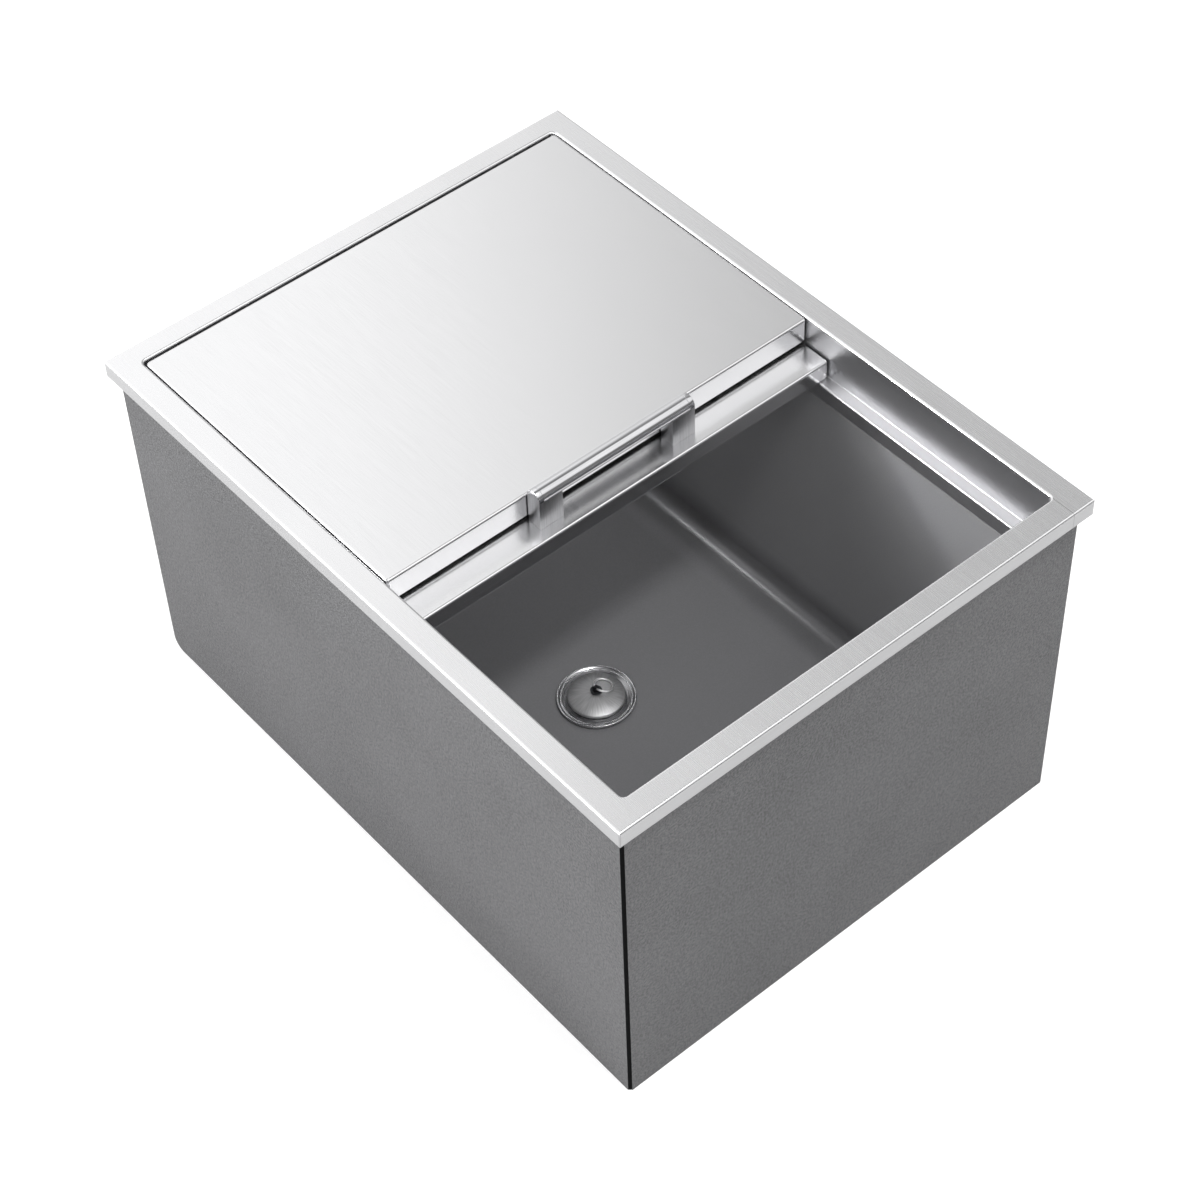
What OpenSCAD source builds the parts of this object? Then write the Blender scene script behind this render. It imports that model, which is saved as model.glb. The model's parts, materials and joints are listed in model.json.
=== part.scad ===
// Drop-in ice bin: a stainless tub hung in a flanged top frame, foamed into a sheet jacket,
// with a rear cover laid flush in the opening, a sliding front cover on the frame's ledge below
// it, and a plugged drain.
// Origin: middle of the footprint on the ground. Front is -Y, up is +Z.

/* [Overall size] */
// Width across the flange, left to right
bin_w = 457.2; // [400:1:700]
// Length of the flange, front to back
bin_l = 609.6; // [560:1:900]
// Height from the jacket's underside to the top of the flange
bin_h = 333.4; // [200:1:450]

/* [Sheet metal] */
// Sheet thickness of the frame, the tub and both covers
sheet_t = 1.2; // [0.9:0.1:1.5]
// Sheet thickness of the outer jacket
jacket_t = 0.9; // [0.6:0.1:1.2]
// Inside radius of every fold
fold_r = 0.8; // [0.5:0.1:1.2]

/* [Top frame] */
// Width of the flat flange at the front and the sides of the opening
flange_w = 22; // [18:0.5:30]
// Width of the flange behind the opening
flange_back_w = 20.2; // [18:0.2:30]
// Height of the turned-down outer lip
lip_h = 16; // [10:0.5:24]
// Radius to which the frame's outer corners are ground, seen from above
corner_r = 1.6; // [1:0.1:2]
// Radius of the opening's corners, seen from above
opening_r = 4; // [3:0.5:10]
// Drop from the flange to the ledge that the sliding cover runs on
ledge_drop = 44.5; // [43:0.5:60]
// Width of the ledge
ledge_w = 11; // [10:0.5:14]
// Height of the rim that hangs from the ledge into the tub
rim_h = 14.5; // [10:0.5:24]

/* [Tub] */
// Height of the tub's floor above the ground
tub_floor_h = 17.2; // [17:0.2:40]
// Inside radius of the tub's coved corners
cove_r = 14; // [8:0.5:20]

/* [Jacket] */
// How far the jacket stands in from the flange's outer edge
jacket_inset = 7.5; // [5:0.5:9]
// Gap between the lip's turned-in edge and the jacket
lip_gap = 1; // [0.5:0.1:2]
// Outside radius of the bend between the back and the underside
back_bend_r = 12; // [6:0.5:20]
// Width of the back panel's foot, under the bin
back_foot_w = 28; // [24:1:50]
// Radius of the sealant bead in the jacket's open corner
seal_r = 2.3; // [1.5:0.1:3]
// Radius of the hole in the underside for fitting the drain
access_r = 38; // [37:0.5:50]
// Space left around the foam, which shrinks as it sets
foam_gap = 0.3; // [0.2:0.1:1]

/* [Covers] */
// Length of the rear cover
rear_cover_l = 305; // [290:0.2:307]
// Height of the rear cover's skirt
rear_skirt_h = 22; // [18:0.5:23]
// Gap between the rear cover and the back of the opening
cover_back_gap = 3; // [2:0.5:6]
// Gap between a cover and the opening's side walls
cover_side_gap = 1; // [0.6:0.1:2]
// Radius of the covers' corners, seen from above
cover_corner_r = 3; // [2.8:0.1:8]
// Width of the hem turned in under each skirt
hem_w = 8; // [6:0.5:9]
// Gap between the pushed-back sliding cover and the recess wall behind it
slide_back_gap = 32.2; // [22:0.2:40]
// Height of the sliding cover's skirt
slide_skirt_h = 18; // [15:0.5:18]
// Height of the bars that carry the rear cover
rest_bar_h = 3; // [2:0.1:3.4]
// Width of the bars that carry the rear cover
rest_bar_w = 9; // [8:0.5:12]
// How far the bars start behind the rear cover's front
rest_setback = 14; // [10:1:40]

/* [Handle] */
// Length of the handle
handle_l = 152.4; // [110:0.2:200]
// Front-to-back depth of the handle
handle_d = 14; // [12:0.5:20]
// Height of the posts under the grip bar
post_h = 27.4; // [22:0.2:40]
// Width of each post
post_w = 22.2; // [16:0.2:30]
// Distance from the sliding cover's front edge to the posts
handle_setback = 11.2; // [8:0.2:20]
// Gap between the posts and the rear cover when the bin is open
stop_gap = 1; // [0.6:0.1:3]
// Height of the grip bar's straight edge under its round top
bar_edge_h = 1; // [0.6:0.1:3]
// Radius of the bead along the grip bar's lower edge
bead_r = 0.8; // [0.5:0.1:1.2]
// How far the bead stops short of each end
bead_inset = 4.6; // [2:0.2:10]
// Radius of the handle screws
screw_r = 2.4; // [1.8:0.1:3]
// Depth of the screw holes in the posts
screw_hole_depth = 14; // [10:0.5:20]

/* [Drain] */
// Radius of the drain's flange
drain_flange_r = 33.5; // [30:0.5:36]
// Outside radius of the drain's tail
drain_tail_r = 20.9; // [19:0.1:21.5]
// Inside radius of the drain
drain_bore_r = 18; // [15:0.5:18]
// Height of the tail's end above the ground
tail_gap = 2.2; // [1.6:0.2:3]
// Length of thread that shows below the back nut
thread_run = 0.6; // [0.4:0.1:1.5]
// Wall of the plain spigot below the thread, which takes the drain pipe
spigot_wall = 1.6; // [1.2:0.1:2.4]
// Thickness of the drain's flange at the seat
drain_seat_t = 1.2; // [1:0.1:2]
// Height of the drain's raised rim above the seat
drain_rim_h = 1.2; // [0.8:0.1:2]
// Width of the drain's raised rim
drain_rim_w = 3.6; // [3:0.1:5]
// Thickness of the washer under the drain's flange
top_washer_t = 1; // [0.8:0.1:2]
// Thickness of the washer above the back nut
under_washer_t = 1.8; // [1.5:0.1:2.5]
// Height of the back nut
backnut_h = 5.4; // [5:0.1:6]
// Width of the back nut across its corners, halved
backnut_r = 29; // [27:0.5:31]

/* [Stopper] */
// Radius of the stopper's cap
cap_r = 24.3; // [23:0.1:26]
// Height of the cap's edge
cap_edge_h = 1; // [0.8:0.1:2]
// Rise of the cap's dome above its edge
cap_rise = 4.7; // [3:0.1:6]
// Thickness of the seal's flange
seal_flange_t = 2; // [1.6:0.1:3]
// Depth of the seal's plug in the drain
plug_h = 6; // [4:0.5:8]
// Radius of the stud's collar on the cap
collar_r = 5; // [4.5:0.1:6]
// Height of the stud's collar
collar_h = 1.5; // [1:0.1:2]
// Height of the eye above the collar
eye_h = 4.6; // [4.2:0.1:6]
// Thickness of the eye
eye_t = 3; // [2.4:0.1:3.4]
// Radius of the hole in the eye
eye_hole_r = 1.6; // [1.5:0.05:1.8]
// Radius of the stud's shank
shank_r = 2.5; // [2:0.1:3]
// Radius of the pull ring, at the middle of its wire
ring_r = 8; // [7:0.1:9]
// Radius of the pull ring's wire
wire_r = 0.9; // [0.7:0.05:1]

/* [Hidden] */
$fn = 96;

// One overrun serves every cut, so that no cut ends flush with a face
over = 2;
// Least gap between round faces that don't touch
ease = 0.3;

// Outside radius of a fold
fold_out = fold_r + sheet_t;
// The opening inside the flange
opening_w = bin_w - 2 * flange_w;
opening_l = bin_l - flange_w - flange_back_w;
// The opening's middle, off the flange's own middle when the flange is narrower at the back
mid_y = (flange_w - flange_back_w) / 2;
// The recess wall's outer faces
recess_w = opening_w + 2 * sheet_t;
recess_l = opening_l + 2 * sheet_t;
recess_r = opening_r + sheet_t;
// The clear way inside the rim, and the tub's inner walls right behind the rim
way_w = opening_w - 2 * ledge_w;
way_l = opening_l - 2 * ledge_w;
tub_w = way_w + 2 * sheet_t;
tub_l = way_l + 2 * sheet_t;
way_r = cove_r - sheet_t;
// Levels, measured from the ground
floor_z = tub_floor_h;
ledge_z = bin_h - ledge_drop;
// The tub ends where the ledge's fold begins, welded to the rim below it
tub_top_z = ledge_z - fold_out;
flange_under_z = bin_h - sheet_t;
ledge_under_z = ledge_z - sheet_t;
// The jacket's outer faces
jacket_w = bin_w - 2 * jacket_inset;
jacket_l = bin_l - 2 * jacket_inset;
jacket_h = flange_under_z;
lip_return_w = jacket_inset - lip_gap;

// Covers
cover_w = opening_w - 2 * cover_side_gap;
rear_cover_back_y = mid_y + opening_l / 2 - cover_back_gap;
rear_cover_front_y = rear_cover_back_y - rear_cover_l;
rear_cover_under_z = bin_h - rear_skirt_h;
slide_top_z = ledge_z + slide_skirt_h;
post_back_y = rear_cover_front_y - stop_gap;
post_front_y = post_back_y - handle_d;
slide_front_y = post_front_y - handle_setback;
slide_back_y = mid_y + opening_l / 2 - slide_back_gap;
slide_cover_l = slide_back_y - slide_front_y;

// Handle
post_x = handle_l / 2 - post_w / 2;
post_y = post_front_y + handle_d / 2;
bar_z = slide_top_z + post_h;
screw_clear = 0.35;
thread_clear = 0.05;
screw_head_r = 2 * screw_r;
screw_head_h = 1.2 * screw_r;
screw_bite_share = 0.8;
handle_washer_r = screw_head_r + screw_r;
handle_washer_t = sheet_t;

// Drain, from the tub's floor up and down
seat_z = floor_z + top_washer_t + drain_seat_t;
tub_under_z = floor_z - sheet_t;
under_washer_z = tub_under_z - under_washer_t;
backnut_z = under_washer_z - backnut_h;
tail_end_z = tail_gap;
spigot_z = backnut_z - thread_run;
spigot_r = drain_bore_r + spigot_wall;
tail_clear = 0.5;
drain_hole_r = drain_tail_r + tail_clear;
top_washer_r = drain_flange_r - drain_rim_w;
under_washer_r = backnut_r;
rim_round_r = drain_rim_h / 2;

// Stopper, from the drain's seat up
cap_under_z = seat_z + seal_flange_t;
cap_skirt_z = seat_z + ease;
cap_edge_z = cap_under_z + cap_edge_h;
cap_seal_share = 0.92;
cap_seal_r = cap_r * cap_seal_share;
dome_r = (pow(cap_r, 2) + pow(cap_rise, 2)) / (2 * cap_rise);
dome_z = cap_edge_z + cap_rise - dome_r;
// The dome is cut flat where the collar sits
collar_z = dome_z + sqrt(pow(dome_r, 2) - pow(collar_r, 2));
collar_top_z = collar_z + collar_h;
eye_rim = 1.1;
eye_round_r = eye_hole_r + eye_rim;
eye_z = collar_top_z + eye_h - eye_round_r;
plug_r = drain_bore_r - ease;
plug_z = seat_z - plug_h;
shank_clear = 0.1;
stopper_nut_r = 2 * shank_r;
stopper_nut_h = 1.6 * shank_r;
shank_end_z = plug_z - stopper_nut_h - shank_r / 2;
// The ring leans to the right until its far side rests on the dome
ring_far_z = dome_z + sqrt(pow(dome_r, 2) - pow(2 * ring_r, 2)) + wire_r + ease;
ring_tilt = asin((eye_z - ring_far_z) / (2 * ring_r));

steel = "#c4c6c8";
bright_steel = "#dcdee0";
tub_steel = "#8b8e91";
jacket_steel = "#75777a";
black = "#17181a";
rubber = "#242526";
foam = "#e4d9b0";

// Rectangle with round corners, centred
module rounded_rect(w, l, r) {
    square([w - 2 * r, l], center = true);
    square([w, l - 2 * r], center = true);
    for (sx = [-1, 1], sy = [-1, 1])
        translate([sx * (w / 2 - r), sy * (l / 2 - r)]) circle(r);
}

// Flat ring between two rectangles with round corners, standing on z = 0
module rounded_wall(w, l, r, wall, h) {
    linear_extrude(h)
        difference() {
            rounded_rect(w, l, r);
            rounded_rect(w - 2 * wall, l - 2 * wall, r - wall);
        }
}

// Section of a 90 degree fold: a quarter ring that joins a top sheet to a sheet going down
module fold_section() {
    intersection() {
        translate([fold_out, -fold_out])
            difference() {
                circle(fold_out);
                circle(fold_r);
            }
        translate([0, -fold_out]) square(fold_out);
    }
}

// Runs a section round a rectangle with round corners; the section's x = 0 lies on its edge
module rounded_run(w, l, r) {
    for (turn = [0:3]) {
        along = turn % 2 == 0 ? w : l;
        across = turn % 2 == 0 ? l : w;
        rotate(90 * turn) {
            translate([r - along / 2, -across / 2, 0])
                rotate([90, 0, 90])
                    linear_extrude(along - 2 * r) mirror([1, 0]) children();
            translate([along / 2 - r, r - across / 2, 0])
                rotate(-90) rotate_extrude(angle = 90) translate([r, 0]) children();
        }
    }
}

// Runs a section round a rectangle with mitred corners; the section's x runs inwards
module mitred_run(w, l, reach, drop) {
    for (turn = [0:3]) {
        along = turn % 2 == 0 ? w : l;
        across = turn % 2 == 0 ? l : w;
        rotate(90 * turn) translate([0, -across / 2, 0])
            intersection() {
                translate([-along / 2, 0, 0])
                    rotate([90, 0, 90]) linear_extrude(along) children();
                translate([0, 0, -drop - over])
                    linear_extrude(drop + 2 * over)
                        polygon([[-along / 2, 0], [along / 2, 0],
                            [along / 2 - reach, reach], [reach - along / 2, reach]]);
            }
    }
}

// Block with round upright corners and a coved underside, standing on z = 0, open to any height
module coved_block(w, l, h, r) {
    translate([0, 0, r]) linear_extrude(h - r) rounded_rect(w, l, r);
    linear_extrude(r) square([w - 2 * r, l - 2 * r], center = true);
    for (side = [-1, 1]) {
        translate([side * (w / 2 - r), 0, r])
            rotate([90, 0, 0]) cylinder(r = r, h = l - 2 * r, center = true);
        translate([0, side * (l / 2 - r), r])
            rotate([0, 90, 0]) cylinder(r = r, h = w - 2 * r, center = true);
        for (end = [-1, 1])
            translate([side * (w / 2 - r), end * (l / 2 - r), r]) sphere(r);
    }
}

// Section of the flange's outer edge: fold, lip, fold and the turned-in seat on the counter
module lip_section() {
    fold_section();
    translate([0, fold_out - lip_h]) square([sheet_t, lip_h - 2 * fold_out]);
    translate([0, -lip_h]) mirror([0, 1]) fold_section();
    translate([fold_out, -lip_h]) square([lip_return_w - fold_out, sheet_t]);
}

// Frame: flange, outer lip, recess wall, ledge and hanging rim, all one welded sheet part
module top_frame() {
    color(bright_steel) {
        intersection() {
            translate([0, 0, bin_h]) mitred_run(bin_w, bin_l, lip_return_w, lip_h) lip_section();
            translate([0, 0, bin_h - lip_h - over])
                linear_extrude(lip_h + 2 * over) rounded_rect(bin_w, bin_l, corner_r);
        }
        translate([0, 0, flange_under_z])
            linear_extrude(sheet_t)
                difference() {
                    square([bin_w - 2 * fold_out, bin_l - 2 * fold_out], center = true);
                    translate([0, mid_y])
                        rounded_rect(opening_w + 2 * fold_out, opening_l + 2 * fold_out,
                            opening_r + fold_out);
                }
        translate([0, mid_y, bin_h]) recess();
    }
}

// Recess: inner fold of the flange, wall, fold, ledge, fold and rim; the flange's top is z = 0
module recess() {
    rounded_run(opening_w, opening_l, opening_r) fold_section();
    translate([0, 0, fold_r - ledge_drop])
        rounded_wall(recess_w, recess_l, recess_r, sheet_t, ledge_drop - fold_r - fold_out);
    translate([0, 0, -ledge_drop - sheet_t])
        rounded_run(recess_w, recess_l, recess_r) mirror([1, 0]) mirror([0, 1]) fold_section();
    translate([0, 0, -ledge_drop - sheet_t])
        linear_extrude(sheet_t)
            difference() {
                rounded_rect(opening_w - 2 * fold_r, opening_l - 2 * fold_r, opening_r - fold_r);
                rounded_rect(way_w + 2 * fold_out, way_l + 2 * fold_out, way_r + fold_out);
            }
    translate([0, 0, -ledge_drop]) rounded_run(way_w, way_l, way_r) fold_section();
    translate([0, 0, -ledge_drop - rim_h])
        rounded_wall(tub_w, tub_l, cove_r, sheet_t, rim_h - fold_out);
}

// Tub: coved box hung behind the rim, with the drain's hole in the middle of its floor
module tub_liner() {
    color(tub_steel) difference() {
        translate([0, mid_y, tub_under_z])
            coved_block(tub_w + 2 * sheet_t, tub_l + 2 * sheet_t, tub_top_z - tub_under_z,
                cove_r + sheet_t);
        translate([0, mid_y, floor_z])
            coved_block(tub_w, tub_l, tub_top_z - floor_z + over, cove_r);
        translate([0, 0, tub_under_z - over])
            cylinder(r = drain_hole_r, h = sheet_t + 2 * over);
    }
}

// Front panel, between the side panels and short of the open corner
module jacket_front() {
    color(jacket_steel)
        translate([seal_r - jacket_w / 2, -jacket_l / 2, 0])
            cube([jacket_w - seal_r - jacket_t, jacket_t, jacket_h]);
}

// Outline of the back panel from the side: upright, bend and foot
module back_outline() {
    translate([jacket_l / 2 - jacket_t, back_bend_r]) square([jacket_t, jacket_h - back_bend_r]);
    translate([jacket_l / 2 - back_bend_r, back_bend_r])
        intersection() {
            difference() {
                circle(back_bend_r);
                circle(back_bend_r - jacket_t);
            }
            translate([0, -back_bend_r]) square(back_bend_r);
        }
    translate([jacket_l / 2 - back_foot_w, 0]) square([back_foot_w - back_bend_r, jacket_t]);
}

module jacket_back() {
    color(jacket_steel)
        translate([jacket_t - jacket_w / 2, 0, 0])
            rotate([90, 0, 90]) linear_extrude(jacket_w - 2 * jacket_t) back_outline();
}

// Outline of a side panel from the side, round at its lower back corner
module side_outline(front_cut) {
    translate([front_cut - jacket_l / 2, 0])
        square([jacket_l - front_cut - back_bend_r, jacket_h]);
    translate([jacket_l / 2 - back_bend_r, back_bend_r]) {
        square([back_bend_r, jacket_h - back_bend_r]);
        intersection() {
            circle(back_bend_r);
            translate([0, -back_bend_r]) square(back_bend_r);
        }
    }
}

module jacket_side(front_cut) {
    rotate([90, 0, 90]) linear_extrude(jacket_t) side_outline(front_cut);
}

module jacket_left() {
    color(jacket_steel) translate([-jacket_w / 2, 0, 0]) jacket_side(seal_r);
}

module jacket_right() {
    color(jacket_steel) translate([jacket_w / 2 - jacket_t, 0, 0]) jacket_side(0);
}

// Bottom pan, with a round hole that gives a hand and a wrench way to the drain
module jacket_bottom() {
    color(jacket_steel) difference() {
        translate([jacket_t - jacket_w / 2, jacket_t - jacket_l / 2, 0])
            difference() {
                cube([jacket_w - 2 * jacket_t, jacket_l - jacket_t - back_foot_w, jacket_t]);
                translate([-over, -over, -over])
                    cube([seal_r - jacket_t + over, seal_r - jacket_t + over,
                        jacket_t + 2 * over]);
            }
        translate([0, 0, -over]) cylinder(r = access_r, h = jacket_t + 2 * over);
    }
}

// Sealant bead: fills the jacket's open front left corner, with a round lower end
module jacket_seam_seal() {
    color(black) translate([-jacket_w / 2, -jacket_l / 2, 0])
        intersection() {
            cube([seal_r, seal_r, jacket_h]);
            translate([seal_r, seal_r, seal_r]) {
                cylinder(r = seal_r, h = jacket_h);
                sphere(seal_r);
            }
        }
}

// Foam: everything between the jacket, the frame and the tub, less the way to the drain
module insulation_foam() {
    foam_w = jacket_w - 2 * jacket_t;
    foam_l = jacket_l - 2 * jacket_t;
    foam_bend_r = back_bend_r;
    color(foam) difference() {
        translate([-foam_w / 2, 0, jacket_t])
            rotate([90, 0, 90]) linear_extrude(foam_w)
                union() {
                    translate([-foam_l / 2, 0])
                        square([foam_l - foam_bend_r, jacket_h - jacket_t]);
                    translate([foam_l / 2 - foam_bend_r, foam_bend_r]) {
                        square([foam_bend_r, jacket_h - jacket_t - foam_bend_r]);
                        circle(foam_bend_r);
                    }
                }
        translate([0, mid_y, 0]) foam_cavity();
        translate([0, 0, -over]) cylinder(r = access_r, h = floor_z + over);
        translate([-jacket_w / 2 - over, -jacket_l / 2 - over, -over])
            cube([seal_r + foam_gap + over, seal_r + foam_gap + over, bin_h + over]);
    }
}

// Room that the foam leaves for the frame and the tub
module foam_cavity() {
    translate([0, 0, ledge_under_z - foam_gap])
        linear_extrude(jacket_h)
            rounded_rect(recess_w + 2 * foam_gap, recess_l + 2 * foam_gap, recess_r + foam_gap);
    translate([0, 0, flange_under_z - fold_out - foam_gap])
        linear_extrude(jacket_h)
            rounded_rect(opening_w + 2 * (fold_out + foam_gap),
                opening_l + 2 * (fold_out + foam_gap), opening_r + fold_out + foam_gap);
    translate([0, 0, tub_under_z - foam_gap])
        coved_block(tub_w + 2 * (sheet_t + foam_gap), tub_l + 2 * (sheet_t + foam_gap),
            ledge_under_z - tub_under_z, cove_r + sheet_t + foam_gap);
}

// Flat bar welded to the recess wall, just under the rear cover's hem
module cover_rest() {
    bar_l = mid_y + opening_l / 2 - rear_cover_front_y - rest_setback - opening_r;
    translate([opening_w / 2 - rest_bar_w, rear_cover_front_y + rest_setback,
        rear_cover_under_z - rest_bar_h])
        cube([rest_bar_w, bar_l, rest_bar_h]);
}

module cover_rest_left() {
    color(steel) mirror([1, 0, 0]) cover_rest();
}

module cover_rest_right() {
    color(steel) cover_rest();
}

// Cover: a tray upside down, with folded edges, round corners and a hem turned in; top at z = 0
module folded_cover(w, l, skirt_h) {
    flat_r = cover_corner_r - fold_out;
    translate([0, 0, -sheet_t])
        linear_extrude(sheet_t) rounded_rect(w - 2 * fold_out, l - 2 * fold_out, flat_r);
    rounded_run(w, l, cover_corner_r) mirror([1, 0]) fold_section();
    translate([0, 0, fold_out - skirt_h])
        rounded_wall(w, l, cover_corner_r, sheet_t, skirt_h - 2 * fold_out);
    translate([0, 0, -skirt_h])
        rounded_run(w, l, cover_corner_r) mirror([1, 0]) mirror([0, 1]) fold_section();
    translate([0, 0, -skirt_h])
        linear_extrude(sheet_t)
            difference() {
                rounded_rect(w - 2 * fold_out, l - 2 * fold_out, flat_r);
                square([w - 2 * hem_w, l - 2 * hem_w], center = true);
            }
}

module rear_cover() {
    color(bright_steel)
        translate([0, rear_cover_front_y + rear_cover_l / 2, bin_h])
            folded_cover(cover_w, rear_cover_l, rear_skirt_h);
}

// Sliding cover, shown pushed back under the rear cover, with two screw holes for its handle
module sliding_cover() {
    color(bright_steel) difference() {
        translate([0, slide_front_y + slide_cover_l / 2, slide_top_z])
            folded_cover(cover_w, slide_cover_l, slide_skirt_h);
        for (side = [-1, 1])
            translate([side * post_x, post_y, slide_top_z - sheet_t - over])
                cylinder(r = screw_r + screw_clear, h = sheet_t + 2 * over);
    }
}

// Grip bar: flat underneath, half round on top, with a bead along its lower front edge
module handle_bar() {
    color(bright_steel)
        translate([-handle_l / 2, post_y, bar_z])
            rotate([90, 0, 90]) {
                linear_extrude(handle_l)
                    union() {
                        translate([-handle_d / 2, 0]) square([handle_d, bar_edge_h]);
                        translate([0, bar_edge_h])
                            intersection() {
                                circle(handle_d / 2);
                                translate([-handle_d / 2, 0]) square([handle_d, handle_d / 2]);
                            }
                    }
                translate([0, 0, bead_inset])
                    linear_extrude(handle_l - 2 * bead_inset)
                        translate([-handle_d / 2, bead_r]) circle(bead_r);
            }
}

// Post: a square block with a blind screw hole up its middle
module handle_post() {
    translate([0, post_y, slide_top_z])
        difference() {
            translate([-post_w / 2, -handle_d / 2, 0]) cube([post_w, handle_d, post_h]);
            translate([0, 0, -over])
                cylinder(r = screw_r + thread_clear, h = screw_hole_depth + over);
        }
}

module handle_post_left() {
    color(steel) translate([-post_x, 0, 0]) handle_post();
}

module handle_post_right() {
    color(steel) translate([post_x, 0, 0]) handle_post();
}

// Screws: pan heads under the sliding cover, shanks up into the posts
module handle_screws() {
    shank_l = handle_washer_t + sheet_t + screw_hole_depth * screw_bite_share;
    head_z = slide_top_z - sheet_t - handle_washer_t;
    color(steel) for (side = [-1, 1])
        translate([side * post_x, post_y, head_z]) {
            cylinder(r = screw_r, h = shank_l);
            translate([0, 0, -screw_head_h]) cylinder(r = screw_head_r, h = screw_head_h);
        }
}

module handle_washers() {
    color(steel) for (side = [-1, 1])
        translate([side * post_x, post_y, slide_top_z - sheet_t - handle_washer_t])
            difference() {
                cylinder(r = handle_washer_r, h = handle_washer_t);
                translate([0, 0, -over])
                    cylinder(r = screw_r + screw_clear, h = handle_washer_t + 2 * over);
            }
}

// Flat washer between two radii, standing on z = 0
module washer(outer_r, inner_r, h) {
    difference() {
        cylinder(r = outer_r, h = h);
        translate([0, 0, -over]) cylinder(r = inner_r, h = h + 2 * over);
    }
}

// Section of the drain: sloping, round-edged rim, flat seat, bore, tail and spigot; y = 0 is the seat
module drain_section() {
    dish_r = drain_flange_r - drain_rim_w;
    crown_r = drain_flange_r - rim_round_r;
    difference() {
        polygon([[drain_bore_r, 0], [dish_r, 0], [crown_r, drain_rim_h],
            [drain_flange_r, drain_rim_h], [drain_flange_r, -drain_seat_t],
            [drain_tail_r, -drain_seat_t], [drain_tail_r, spigot_z - seat_z],
            [spigot_r, spigot_z - seat_z], [spigot_r, tail_end_z - seat_z],
            [drain_bore_r, tail_end_z - seat_z]]);
        translate([crown_r, rim_round_r])
            difference() {
                square(rim_round_r + over);
                circle(rim_round_r);
            }
    }
}

module drain_body() {
    color(bright_steel) translate([0, 0, seat_z]) rotate_extrude() drain_section();
}

module drain_top_washer() {
    color(rubber) translate([0, 0, floor_z]) washer(top_washer_r, drain_hole_r, top_washer_t);
}

module drain_under_washer() {
    color(rubber)
        translate([0, 0, under_washer_z]) washer(under_washer_r, drain_hole_r, under_washer_t);
}

// Back nut: six-sided, run up the tail against the lower washer
module drain_backnut() {
    color(steel) translate([0, 0, backnut_z])
        difference() {
            cylinder(r = backnut_r, h = backnut_h, $fn = 6);
            translate([0, 0, -over])
                cylinder(r = drain_tail_r + thread_clear, h = backnut_h + 2 * over);
        }
}

// Cap: a domed disc whose skirt reaches down round the seal
module stopper_cap() {
    color(bright_steel) difference() {
        intersection() {
            translate([0, 0, cap_skirt_z])
                cylinder(r = cap_r, h = cap_edge_z + cap_rise - cap_skirt_z);
            translate([0, 0, dome_z]) sphere(dome_r);
        }
        translate([0, 0, cap_skirt_z - over])
            cylinder(r = cap_seal_r + ease, h = cap_under_z - cap_skirt_z + over);
        translate([0, 0, collar_z]) cylinder(r = collar_r + over, h = cap_rise);
        translate([0, 0, cap_under_z - over])
            cylinder(r = shank_r + shank_clear, h = cap_edge_h + cap_rise + 2 * over);
    }
}

// Seal: a rubber flange on the drain's seat and a plug in its bore
module stopper_seal() {
    color(rubber) difference() {
        union() {
            translate([0, 0, seat_z]) cylinder(r = cap_seal_r, h = seal_flange_t);
            translate([0, 0, plug_z]) cylinder(r = plug_r, h = plug_h);
        }
        translate([0, 0, plug_z - over])
            cylinder(r = shank_r + shank_clear, h = plug_h + seal_flange_t + 2 * over);
    }
}

// Stud: collar and eye on top of the cap, shank down through the cap and the seal
module stopper_stud() {
    color(steel) {
        translate([0, 0, collar_z]) cylinder(r = collar_r, h = collar_h);
        translate([0, 0, shank_end_z]) cylinder(r = shank_r, h = collar_z - shank_end_z);
        difference() {
            union() {
                translate([-eye_round_r, -eye_t / 2, collar_top_z])
                    cube([2 * eye_round_r, eye_t, eye_z - collar_top_z]);
                translate([0, 0, eye_z])
                    rotate([90, 0, 0]) cylinder(r = eye_round_r, h = eye_t, center = true);
            }
            translate([0, 0, eye_z])
                rotate([90, 0, 0]) cylinder(r = eye_hole_r, h = eye_t + 2 * over, center = true);
        }
    }
}

module stopper_nut() {
    color(steel) translate([0, 0, plug_z - stopper_nut_h])
        difference() {
            cylinder(r = stopper_nut_r, h = stopper_nut_h, $fn = 6);
            translate([0, 0, -over])
                cylinder(r = shank_r + thread_clear, h = stopper_nut_h + 2 * over);
        }
}

// Pull ring: passes through the eye and leans over to the right
module pull_ring() {
    color(bright_steel) translate([0, 0, eye_z])
        rotate([0, ring_tilt, 0]) translate([ring_r, 0, 0])
            rotate_extrude() translate([ring_r, 0]) circle(wire_r);
}

top_frame();
tub_liner();
jacket_front();
jacket_back();
jacket_left();
jacket_right();
jacket_bottom();
jacket_seam_seal();
insulation_foam();
cover_rest_left();
cover_rest_right();
rear_cover();
sliding_cover();
handle_bar();
handle_post_left();
handle_post_right();
handle_screws();
handle_washers();
drain_body();
drain_top_washer();
drain_under_washer();
drain_backnut();
stopper_cap();
stopper_seal();
stopper_stud();
stopper_nut();
pull_ring();
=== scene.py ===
# %% [markdown]
# # A drop-in ice bin, dressed in Blender
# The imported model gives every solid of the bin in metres. This script keeps the solids whose
# shape is already right, gives each a finish, and remodels the few that a maker would round,
# groove or polish.

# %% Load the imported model
import json
import math

import bmesh
import bpy
from mathutils import Matrix, Vector


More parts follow.
